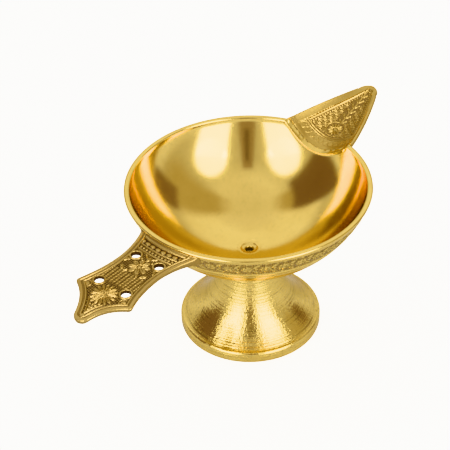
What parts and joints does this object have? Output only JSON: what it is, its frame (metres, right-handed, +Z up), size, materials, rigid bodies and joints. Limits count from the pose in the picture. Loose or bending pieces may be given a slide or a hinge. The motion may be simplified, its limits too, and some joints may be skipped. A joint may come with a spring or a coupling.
{
  "type": "handled oil lamp",
  "caption": "Small brass oil lamp: round polished bowl on a hollow turned foot, leaf-shaped ornamented spout and flat ornamental handle.",
  "frame": {"origin": "on the standing plane, midway between the handle's tip and the spout's tip, on the plane of symmetry; the turning axis of bowl and foot is 5.0 mm towards the spout", "axes": "+X along the lamp towards the spout's tip, +Y to the left seen from behind the handle, +Z up"},
  "size_m": [0.154, 0.0836, 0.0614],
  "materials": {
    "bowl_brass": "polished inside, low cast ornament outside",
    "spout_brass": "cast ornament with dark recesses",
    "handle_brass": "cast ornament with dark recesses",
    "foot_brass": "polished with fine turning lines",
    "rivet_brass": "turned",
    "washer_brass": "dull"
  },
  "bodies": {
    "root": {"bowl": "bowl_brass", "spout": "spout_brass", "handle": "handle_brass", "foot": "foot_brass", "stem_rivet": "rivet_brass", "washer": "washer_brass"}
  },
  "joints": []
}
